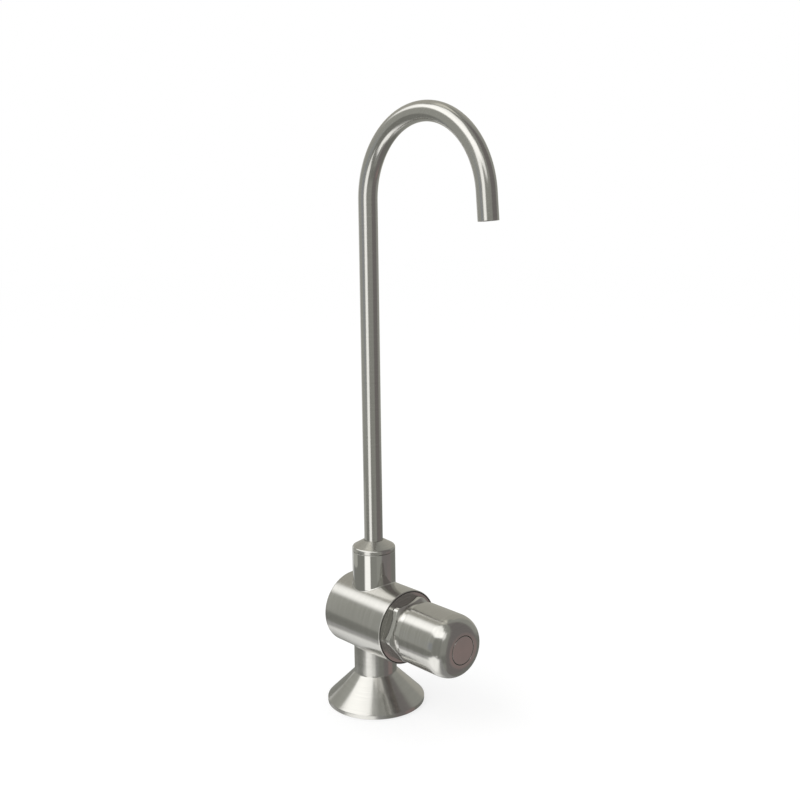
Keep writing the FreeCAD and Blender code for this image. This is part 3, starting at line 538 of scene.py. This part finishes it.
def make_spout():
    angles = even_angles(TUBE_SEGMENTS)
    rise = stem_top - tube_low.z
    arch_end = rise + arch_sweep * arch_radius
    whole = arch_end + outlet_length
    bore = tube_radius - tube_wall
    stations = [rise * share for share in np.linspace(0, 1, STEM_STEPS + 1)[1:]]
    stations += list(np.linspace(rise, arch_end, ARCH_STEPS + 1)[1:])
    rim = [(0, bore), (0, tube_radius - tube_edge), (tube_edge, tube_radius)]
    middle = tube_edge * tube_edge_middle
    tip = [
        (whole - tube_edge, tube_radius),
        (whole - middle, tube_radius - middle),
        (whole, tube_radius - tube_edge),
        (whole, bore + tube_edge),
        (whole - middle, bore + middle),
        (whole - tube_edge, bore),
    ]
    outside = [(run, tube_radius) for run in stations]
    inside = [(run, bore) for run in reversed(stations)]
    rings = rim + outside + tip + inside
    return skin("gooseneck", [spout_ring(*ring, angles) for ring in rings], loop=True)


# Materials

STEEL = (0.62, 0.61, 0.585)
POLISHED_STEEL = (0.70, 0.69, 0.665)
BRASS = (0.62, 0.45, 0.20)

# Marks of the tools, per metre round the axis and along it, and their shares of the whole
FINE_MARKS, BROAD_MARKS = (30.0, 5200.0), (16.0, 900.0)
FINE_SHARE, BROAD_SHARE = 0.6, 0.4
SMUDGES = 45.0
MARK_HEIGHT = 0.00003

# The grain's height, and how much larger its patches of colour are
GRAIN_HEIGHT = 0.00005
GRAIN_PATCH = 12


def add(tree, kind, inputs=None, **settings):
    """A shader node. Inputs are values, or sockets to link from."""
    made = tree.nodes.new(kind)
    for key, value in settings.items():
        setattr(made, key, value)
    for key, value in (inputs or {}).items():
        if isinstance(value, bpy.types.NodeSocket):
            tree.links.new(value, made.inputs[key])
        else:
            made.inputs[key].default_value = value
    return made


def calc(tree, operation, *values):
    """The result of a Math node."""
    return add(tree, "ShaderNodeMath", dict(enumerate(values)), operation=operation).outputs[0]


def spread(tree, factor, low, high, from_low=0.3, from_high=0.7):
    """A noise's usual range stretched to low and high."""
    limits = {"Value": factor, "From Min": from_low, "From Max": from_high}
    limits.update({"To Min": low, "To Max": high})
    return add(tree, "ShaderNodeMapRange", limits).outputs["Result"]


def noise(tree, place, scale, detail=2.0):
    inputs = {"Vector": place, "Scale": scale, "Detail": detail}
    return add(tree, "ShaderNodeTexNoise", inputs).outputs["Fac"]


def shader(name, **values):
    """A material with a Principled shader whose plain values are set on its own sockets."""
    made = bpy.data.materials.new(name)
    made.use_nodes = True
    surface = made.node_tree.nodes["Principled BSDF"]
    for key, value in values.items():
        surface.inputs[key.replace("_", " ")].default_value = value
    return made, made.node_tree, surface


def turning_marks(tree, spot, lies, slow, fast):
    """Noise drawn out round a turned piece's axis, as a lathe or a belt leaves it."""
    x, y, z = add(tree, "ShaderNodeSeparateXYZ", {0: spot}).outputs
    across = calc(tree, "SUBTRACT", z, axis_height * MM) if lies else y
    along = calc(tree, "MULTIPLY", y, -1.0) if lies else z
    square = calc(tree, "MULTIPLY", across, across)
    radius = calc(tree, "SQRT", calc(tree, "MULTIPLY_ADD", x, x, square))
    depth = calc(tree, "SUBTRACT", along, radius)
    place = add(tree, "ShaderNodeCombineXYZ", {
        0: calc(tree, "MULTIPLY", x, slow),
        1: calc(tree, "MULTIPLY", across, slow),
        2: calc(tree, "MULTIPLY", depth, fast),
    }).outputs[0]
    return noise(tree, place, 1.0, 3.0)


def tinted(tree, colour, factor, change):
    """The colour, a little darker and lighter by the factor."""
    dark = tuple(part * (1 - change) for part in colour) + (1,)
    light = tuple(min(part * (1 + change), 1) for part in colour) + (1,)
    mix = add(tree, "ShaderNodeMix", data_type="RGBA")
    tree.links.new(factor, mix.inputs["Factor"])
    mix.inputs[6].default_value = dark
    mix.inputs[7].default_value = light
    return mix.outputs[2]


def turned_steel(name, colour, roughness, grain, anisotropic, lies=False, marks=0.07, bump=0.06):
    """Stainless steel turned or brushed round its axis."""
    made, tree, surface = shader(name, Metallic=1.0, Anisotropic=anisotropic)
    spot = add(tree, "ShaderNodeTexCoord").outputs["Object"]
    fine = turning_marks(tree, spot, lies, *FINE_MARKS)
    broad = turning_marks(tree, spot, lies, *BROAD_MARKS)
    smudge = noise(tree, spot, SMUDGES, 4.0)
    weighted = calc(tree, "MULTIPLY", broad, BROAD_SHARE)
    lines = calc(tree, "MULTIPLY_ADD", fine, FINE_SHARE, weighted)
    rough = spread(tree, lines, roughness - grain, roughness + grain)
    clouded = spread(tree, smudge, -grain * 0.6, grain * 0.6)
    tree.links.new(calc(tree, "ADD", rough, clouded), surface.inputs["Roughness"])
    shade = tinted(tree, colour, spread(tree, lines, 0.0, 1.0), marks)
    tree.links.new(shade, surface.inputs["Base Color"])
    height = {"Height": lines, "Strength": bump, "Distance": MARK_HEIGHT}
    relief = add(tree, "ShaderNodeBump", height)
    tree.links.new(relief.outputs["Normal"], surface.inputs["Normal"])
    if anisotropic:
        tangent = add(tree, "ShaderNodeTangent", direction_type="UV_MAP", uv_map=TURNING_MAP)
        tree.links.new(tangent.outputs[0], surface.inputs["Tangent"])
    return made


def grained(name, colour, roughness, grain, scale, change=0.05, bump=0.1, **values):
    """A plain material with fine grain: cast or machined metal, rubber or plastic."""
    made, tree, surface = shader(name, **values)
    spot = add(tree, "ShaderNodeTexCoord").outputs["Object"]
    fine = noise(tree, spot, scale, 3.0)
    rough = spread(tree, fine, roughness - grain, roughness + grain)
    tree.links.new(rough, surface.inputs["Roughness"])
    shade = spread(tree, noise(tree, spot, scale / GRAIN_PATCH, 3.0), 0.0, 1.0)
    tree.links.new(tinted(tree, colour, shade, change), surface.inputs["Base Color"])
    height = {"Height": fine, "Strength": bump, "Distance": GRAIN_HEIGHT}
    relief = add(tree, "ShaderNodeBump", height)
    tree.links.new(relief.outputs["Normal"], surface.inputs["Normal"])
    return made


upright_satin = turned_steel("upright_satin_steel", STEEL, 0.20, 0.04, 0.5)
laid_satin = turned_steel("laid_satin_steel", STEEL, 0.20, 0.04, 0.5, lies=True)
tube_satin = turned_steel("tube_satin_steel", STEEL, 0.17, 0.03, 0.4)
upright_polish = turned_steel(
    "upright_polished_steel", POLISHED_STEEL, 0.07, 0.02, 0.0, marks=0.02, bump=0.02
)
laid_polish = turned_steel("laid_polished_steel", POLISHED_STEEL, 0.15, 0.03, 0.0, lies=True)
inner_steel = grained("machined_steel", STEEL, 0.3, 0.06, 2500.0, Metallic=1.0)
brass = grained("machined_brass", BRASS, 0.28, 0.06, 2500.0, Metallic=1.0)
rubber = grained("black_rubber", (0.022, 0.022, 0.024), 0.62, 0.08, 3500.0, bump=0.3)
plastic = grained("white_plastic", (0.78, 0.78, 0.76), 0.42, 0.05, 1800.0, change=0.02)
# Painted shade: a near-black material for the faces inside grooves, seams and recesses, in place
# of the shade there
joint_shadow = grained("joint_painted_shade", (0.03, 0.028, 0.025), 0.6, 0.1, 2500.0)

NODE_FINISH = {
    "brushed_stainless": inner_steel,
    "polished_stainless": inner_steel,
    "plain_stainless": inner_steel,
    "brass": brass,
    "black_rubber": rubber,
    "white_plastic": plastic,
}


def shade_joint(piece, lies, alongs, radii):
    """Painted shade in a joint: faces whose middle lies between two places along the piece's axis
    and two radii take a near-black material in place of the shade that falls there."""
    piece.data.materials.append(joint_shadow)
    for face in piece.data.polygons:
        x, y, z = face.center / MM
        along = -y if lies else z
        radius = math.hypot(x, z - axis_height) if lies else math.hypot(x, y)
        if alongs[0] < along < alongs[1] and radii[0] < radius < radii[1]:
            face.material_index = 1


# Pieces

def place(piece, body, slot, finish, *nodes):
    """Gives a piece its finish and body, and hides the CAD nodes that it stands for. The slot is
    not used.
    """
    piece.data.materials.append(finish)
    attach(piece, body)
    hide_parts(*nodes)


place(make_foot(), "root", "brushed_stainless", upright_satin, "foot")
barrel = make_barrel()
place(barrel, "root", "brushed_stainless", laid_satin, "barrel")
# Painted shade in the barrel's front groove, the seam between boss and cap, the knob's recess and
# round the disc's rim
groove_alongs = (barrel_front - 1, barrel_front - 0.02)
shade_joint(barrel, True, groove_alongs, (groove_inner - 0.2, groove_outer + 0.1))
place(make_bonnet(), "root", "polished_stainless", laid_polish, "bonnet")
boss = make_boss()
place(boss, "root", "polished_stainless", upright_polish, "outlet_boss")
shade_joint(boss, False, (boss_top - 1, boss_top), (cap_spigot, boss_radius - seam_edge))
cap = make_cap()
place(cap, "root", "brushed_stainless", upright_satin, "spout_cap")
seam_radii = (cap_spigot - 0.05, boss_radius - seam_edge)
shade_joint(cap, False, (boss_top - 1, boss_top + 0.05), seam_radii)
knob = make_knob()
place(knob, "button", "brushed_stainless", laid_satin, "push_knob")
recess_radii = (disc_radius, disc_recess + 0.05)
shade_joint(knob, True, (disc_seat - 0.1, knob_front - 0.1), recess_radii)
disc = make_disc()
place(disc, "button", "brushed_stainless", laid_satin, "index_disc")
rim_radii = (disc_radius - 0.05, disc_recess)
shade_joint(disc, True, (disc_seat - 0.1, knob_front - 0.2), rim_radii)
place(make_spout(), "spout", "brushed_stainless", tube_satin, "spout_tube")

# The spring stands on the gland at the rear and reaches the knob at its front
spring = make_spring()
spring.data.materials.append(inner_steel)
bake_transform(spring)
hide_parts("return_spring")

slot_of_node = {row["node"]: row["material_slot"] for row in frame["record"]["subparts"]}
for name, node in frame["nodes"].items():
    finish = NODE_FINISH[slot_of_node[name]]
    node.data.materials.clear()
    node.data.materials.append(finish)


# Camera

camera_turn = math.radians(-41.61)
camera_aside, camera_back, camera_height = 14.476, 543.465, 261.131
camera_pitch, camera_roll = math.radians(10.5), math.radians(-0.69)
camera_lens, camera_sensor, camera_near = 49.362, 36.0, 0.01

toward_camera = Vector((math.sin(camera_turn), -math.cos(camera_turn), 0))
camera_right = Vector((math.cos(camera_turn), math.sin(camera_turn), 0))


def make_camera():
    forward = -toward_camera * math.cos(camera_pitch) - Vector((0, 0, math.sin(camera_pitch)))
    level_up = camera_right.cross(forward)
    right = camera_right * math.cos(camera_roll) + level_up * math.sin(camera_roll)
    up = level_up * math.cos(camera_roll) - camera_right * math.sin(camera_roll)
    where = camera_right * camera_aside + toward_camera * camera_back
    where.z = camera_height
    camera = bpy.data.objects.new("camera", bpy.data.cameras.new("camera"))
    camera.data.lens = camera_lens
    camera.data.sensor_width = camera_sensor
    camera.data.clip_start = camera_near
    axes = Matrix((right, up, -forward)).transposed().to_4x4()
    camera.matrix_world = Matrix.Translation(where * MM) @ axes
    bpy.context.scene.collection.objects.link(camera)
    bpy.context.scene.camera = camera


make_camera()


# Studio: lengths are in metres, and directions in degrees round from the camera, to its right

room_light = 0.84
floor_glow, floor_grey, floor_half, floor_drop = 0.62, 0.45, 3.0, 0.0002
key_power, key_width, key_height = 1.7, 0.8, 0.45
key_azimuth, key_distance, key_rise = -55, 0.58, 0.75
key_aim = Vector((0, 0, 0.12))


def studio_point(azimuth, radius, height):
    """A place in a direction from the upright axis."""
    turn = math.radians(azimuth)
    level = toward_camera * math.cos(turn) + camera_right * math.sin(turn)
    return level * radius + Vector((0, 0, height))


def sees_background(tree):
    """1 for camera, glossy and transmission rays, which see the white background."""
    path = add(tree, "ShaderNodeLightPath").outputs
    seen = calc(tree, "MAXIMUM", path["Is Camera Ray"], path["Is Glossy Ray"])
    return calc(tree, "MAXIMUM", seen, path["Is Transmission Ray"])


def make_world():
    world = bpy.data.worlds.new("studio")
    world.use_nodes = True
    bpy.context.scene.world = world
    tree = world.node_tree
    strength = calc(tree, "MULTIPLY_ADD", sees_background(tree), 1.0 - room_light, room_light)
    tree.links.new(strength, tree.nodes["Background"].inputs["Strength"])
    tree.nodes["Background"].inputs["Color"].default_value = (1, 1, 1, 1)


def empty_material(name):
    """A material without nodes."""
    made = bpy.data.materials.new(name)
    made.use_nodes = True
    made.node_tree.nodes.clear()
    return made, made.node_tree


def make_floor():
    """A floor that is white to rays that see the background, and takes the shadow."""
    half = floor_half
    mesh = bpy.data.meshes.new("floor")
    corners = [(-half, -half), (half, -half), (half, half), (-half, half)]
    mesh.from_pydata([(x, y, -floor_drop) for x, y in corners], [], [(0, 1, 2, 3)])
    floor = bpy.data.objects.new("floor", mesh)
    bpy.context.scene.collection.objects.link(floor)
    made, tree = empty_material("floor")
    grey = (floor_grey, floor_grey, floor_grey, 1)
    diffuse = add(tree, "ShaderNodeBsdfDiffuse", {"Color": grey})
    glow = add(tree, "ShaderNodeEmission", {
        "Color": (1, 1, 1, 1),
        "Strength": calc(tree, "MULTIPLY", sees_background(tree), floor_glow),
    })
    both = add(tree, "ShaderNodeAddShader", {0: diffuse.outputs[0], 1: glow.outputs[0]})
    add(tree, "ShaderNodeOutputMaterial", {"Surface": both.outputs[0]})
    mesh.materials.append(made)
    floor.visible_glossy = False


def make_key_light():
    lamp = bpy.data.lights.new("key", "AREA")
    lamp.shape = "RECTANGLE"
    lamp.size, lamp.size_y = key_width, key_height
    lamp.energy = key_power
    key = bpy.data.objects.new("key", lamp)
    key.location = studio_point(key_azimuth, key_distance, key_rise)
    aim = key_aim - key.location
    key.rotation_mode = "QUATERNION"
    key.rotation_quaternion = aim.to_track_quat("-Z", "Y")
    key.visible_camera = False
    key.visible_glossy = False
    bpy.context.scene.collection.objects.link(key)


# What the steel reflects: cards on a far tent, which only glossy rays meet. Each card is
# (from, to, low, high, brightness, tint), in degrees round from the camera and degrees up, and
# a later one lies over the others. A seventh value is the blur of its edges.
NEUTRAL = (1.0, 1.0, 0.98)
OLIVE = (1.0, 1.01, 0.93)
BEIGE = (1.03, 1.01, 0.905)
COOL = (0.95, 0.99, 1.03)
BROWN = (1.05, 0.98, 0.96)
ROSE = (1.26, 0.97, 0.93)

ROOM = 0.33
CARD_BLUR = 7.0
TENT_RADIUS = 2.0
TENT_HEIGHT = 0.08
TENT_STEP = 2.0
CARDS = [
    # behind: a beige wall, and a pale patch high over it
    (136, 236, -14, 62, 0.45, BEIGE),
    (-176, -120, 62, 90, 0.80, BEIGE),
    # left: a wall, a pale strip at its far end, a cool patch on it and one under it
    (-136, -48, -14, 36, 0.40, OLIVE),
    (-157, -137, -20.5, 14, 0.78, NEUTRAL, 4),
    (-84, -56, -8, 12, 0.36, COOL),
    (-140, -122, -20, -12, 0.36, COOL, 3),
    # left: a dark floor, and a bright one straight below
    (-130, 0, -56, -14, 0.24, OLIVE),
    (-178, -8, -90, -60, 1.12, NEUTRAL, 14),
    # left: a window and its sill
    (-52, -24, -26, -20, 1.25, NEUTRAL, 4),
    (-48, -18, -24, 40, 1.32, NEUTRAL),
    # a large softbox over the window, with paler parts at its ends and its top
    (-124, -100, 27, 50, 1.40, NEUTRAL),
    (-112, -16, 34, 63, 1.60, NEUTRAL),
    (-20, 4, 33, 57, 1.60, NEUTRAL),
    (0, 20, 25, 47, 1.20, NEUTRAL),
    (-104, -24, 58, 73, 1.40, NEUTRAL),
    # right: a dark wall, a paler one beyond it and a dark floor under that one
    (44, 104, -90, 90, 0.20, BROWN),
    (104, 140, -14, 90, 0.36, OLIVE),
    (104, 160, -90, -14, 0.21, OLIVE),
    # right: a dark strip low in front, and a rosy one low on the dark wall
    (4, 46, -40, -21, 0.23, OLIVE, 3),
    (74, 104, -31, -20.5, 0.25, ROSE, 3),
]

# A pale sheet low in front, which the arch sees less of than the lower pieces do. Its cards are
# (back, front, left, right, brightness), in metres towards the camera and to its right.
SHEET_HEIGHT = -0.10
SHEET_LEFT, SHEET_RIGHT, SHEET_BACK, SHEET_FRONT = -0.24, 0.08, -0.15, 0.33
SHEET_BLUR = 0.05
SHEET_STEP = 0.01
SHEET = [
    (-0.30, 0.285, -0.225, 0.000, 1.32),
    (-0.30, 0.020, -0.150, 0.020, 0.92),
    (-0.30, 0.060, -0.400, -0.165, 0.42),
    (-0.30, -0.110, -0.400, 0.200, 0.50),
]


def ease(value, start, end):
    """0 up to the start, 1 from the end on, and a smooth rise in between."""
    share = np.clip((value - start) / (end - start), 0, 1)
    return share * share * (3 - 2 * share)


def card_light(azimuth, rise):
    """Colour of the cards in a direction."""
    light = np.array(OLIVE) * ROOM
    for start, end, low, high, brightness, tint, *blur in CARDS:
        soft = (blur[0] if blur else CARD_BLUR) / 2
        middle = (start + end) / 2
        turn = (azimuth - middle + 180) % 360 + middle - 180
        share = ease(turn, start - soft, start + soft) * (1 - ease(turn, end - soft, end + soft))
        if low > -90:
            share *= ease(rise, low - soft, low + soft)
        if high < 90:
            share *= 1 - ease(rise, high - soft, high + soft)
        light += (np.array(tint) * brightness - light) * share
    return light


def sheet_light(ahead, aside):
    """Colour of the sheet at a place on it."""
    brightness = ROOM
    soft = SHEET_BLUR / 2
    for back, front, left, right, value in SHEET:
        begun = ease(ahead, back - soft, back + soft)
        share = begun * (1 - ease(ahead, front - soft, front + soft))
        begun = ease(aside, left - soft, left + soft)
        share *= begun * (1 - ease(aside, right - soft, right + soft))
        brightness += (value - brightness) * share
    return np.array(NEUTRAL) * brightness


def reflected_only(name, points, faces, colours):
    """A glowing stage mesh that only glossy rays meet."""
    mesh = bpy.data.meshes.new(name)
    mesh.from_pydata(points, [], faces)
    layer = mesh.color_attributes.new("light", "FLOAT_COLOR", "POINT")
    layer.data.foreach_set("color", np.array(colours, dtype=np.float32).ravel())
    card = bpy.data.objects.new(name, mesh)
    bpy.context.scene.collection.objects.link(card)
    made, tree = empty_material(name)
    light = add(tree, "ShaderNodeVertexColor", layer_name="light")
    glow = add(tree, "ShaderNodeEmission", {"Color": light.outputs["Color"], "Strength": 1.0})
    add(tree, "ShaderNodeOutputMaterial", {"Surface": glow.outputs[0]})
    made.cycles.emission_sampling = "NONE"
    mesh.materials.append(made)
    card.visible_camera = False
    card.visible_diffuse = False
    card.visible_shadow = False
    card.visible_transmission = False


def grid_faces(rows, wide):
    """Faces of a grid whose points run row by row, each row this many points wide."""
    faces = []
    for row in range(rows - 1):
        for step in range(wide - 1):
            first = row * wide + step
            faces.append((first, first + 1, first + wide + 1, first + wide))
    return faces


def make_tent():
    azimuths = np.arange(-180, 181, TENT_STEP)
    rises = np.arange(-90, 91, TENT_STEP)
    points, colours = [], []
    for rise in rises:
        level = TENT_RADIUS * math.cos(math.radians(rise))
        height = TENT_HEIGHT + TENT_RADIUS * math.sin(math.radians(rise))
        for azimuth in azimuths:
            points.append(studio_point(azimuth, level, height))
            colours.append([*card_light(azimuth, rise), 1.0])
    faces = grid_faces(len(rises), len(azimuths))
    reflected_only("reflector_tent", points, faces, colours)


def make_sheet():
    aheads = np.arange(SHEET_BACK, SHEET_FRONT + SHEET_STEP / 10, SHEET_STEP)
    asides = np.arange(SHEET_LEFT, SHEET_RIGHT + SHEET_STEP / 10, SHEET_STEP)
    up = Vector((0, 0, SHEET_HEIGHT))
    points, colours = [], []
    for ahead in aheads:
        for aside in asides:
            points.append(toward_camera * ahead + camera_right * aside + up)
            colours.append([*sheet_light(ahead, aside), 1.0])
    faces = grid_faces(len(aheads), len(asides))
    reflected_only("reflector_sheet", points, faces, colours)


def make_flag(name, start, end, low, high, tint, brightness):
    """A small upright card between two places (azimuth, distance)."""
    points = [studio_point(*start, low), studio_point(*end, low)]
    points += [studio_point(*end, high), studio_point(*start, high)]
    colour = [*(np.array(tint) * brightness), 1.0]
    reflected_only(name, points, [(0, 1, 2, 3)], [colour] * 4)


make_world()
make_floor()
make_key_light()
make_tent()
make_sheet()
make_flag("knob_flag", (-16, 0.082), (15, 0.118), 0.027, 0.095, OLIVE, 0.28)
make_flag("foot_flag", (-130, 0.100), (-92, 0.100), 0.044, 0.094, OLIVE, 0.45)
make_flag("rear_flag", (-172, 0.100), (-130, 0.100), -0.030, 0.030, OLIVE, 0.30)
bpy.context.scene.view_settings.view_transform = "Standard"
